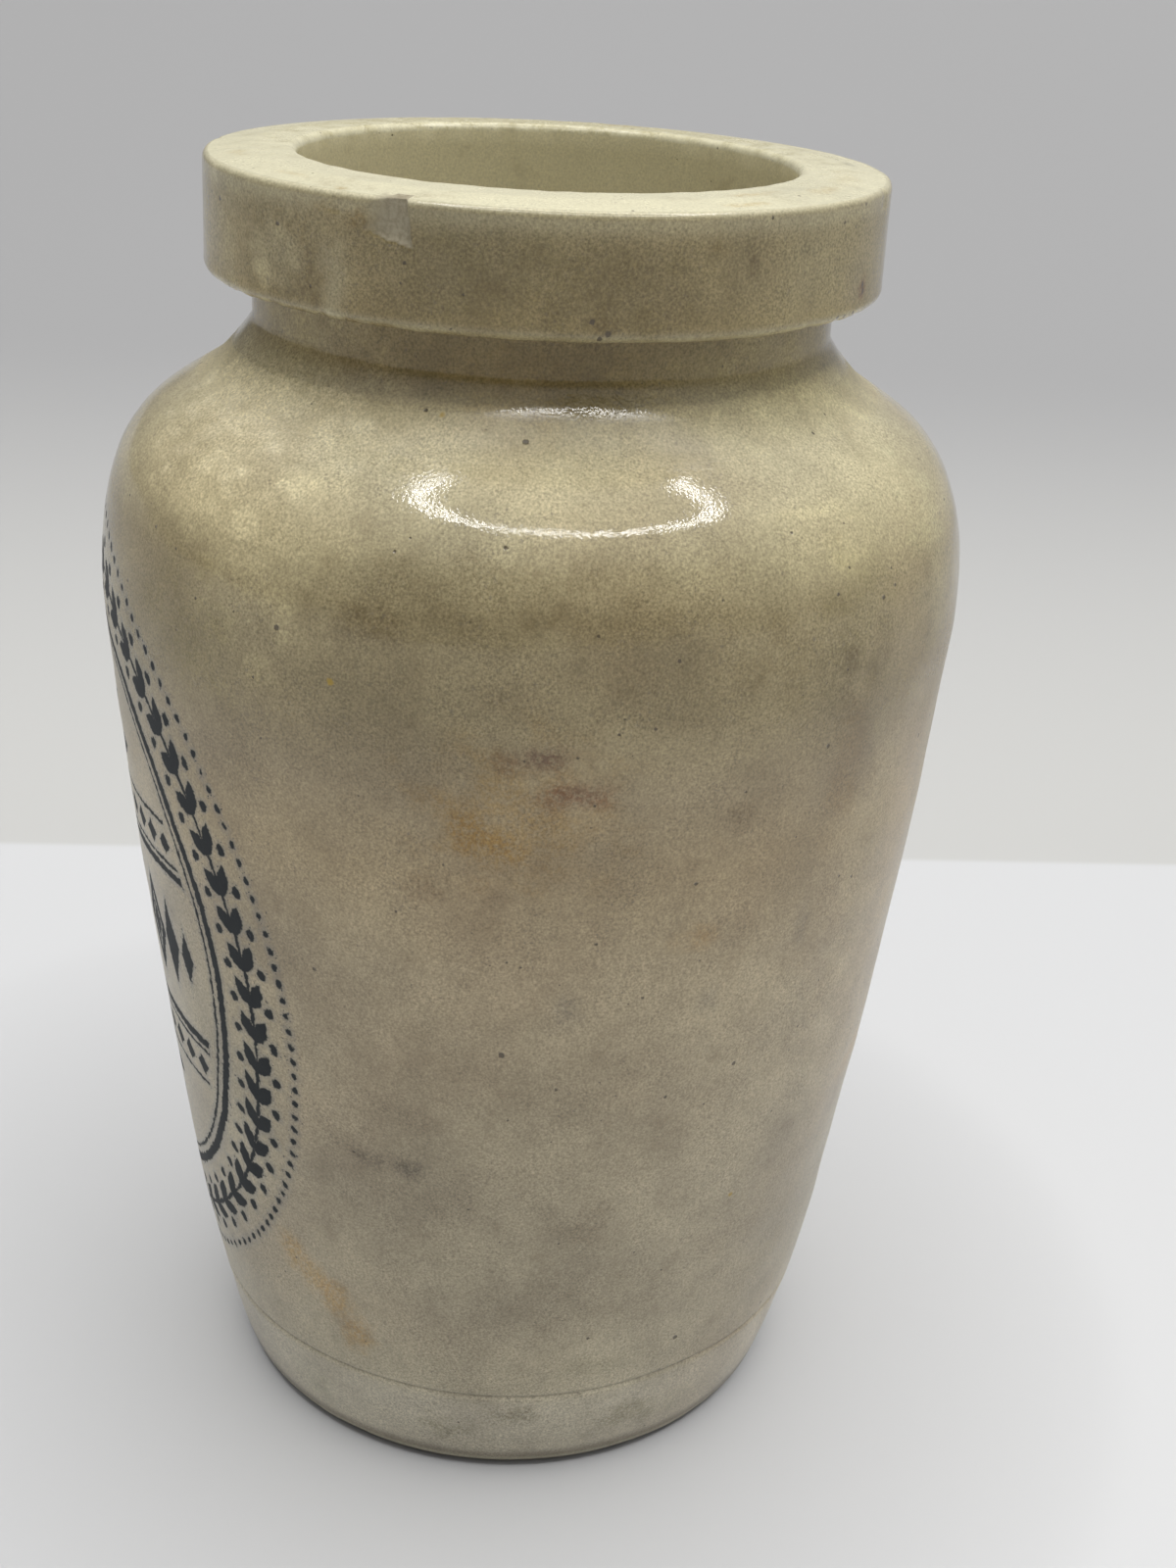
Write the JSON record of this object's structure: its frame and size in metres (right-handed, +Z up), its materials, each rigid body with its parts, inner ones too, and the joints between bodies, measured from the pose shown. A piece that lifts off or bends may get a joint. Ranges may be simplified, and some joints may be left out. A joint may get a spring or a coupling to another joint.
{
  "type": "advertising jar",
  "caption": "Glazed stoneware food jar with a straight collar, waisted neck, round shoulder, tapering body and flat foot, open at the mouth.",
  "frame": {"origin": "centre of the foot, on the plane that the jar stands on", "axes": "+Z up along the jar's axis, from the foot to the mouth; the printed side faces -Y"},
  "size_m": [0.0816, 0.0816, 0.125],
  "materials": {
    "glazed_stoneware": "glossy cream glaze over pale stoneware, fine speckle, blue-black printed ornament under the glaze"
  },
  "bodies": {
    "root": {"jar_body": "glazed_stoneware"}
  },
  "joints": []
}
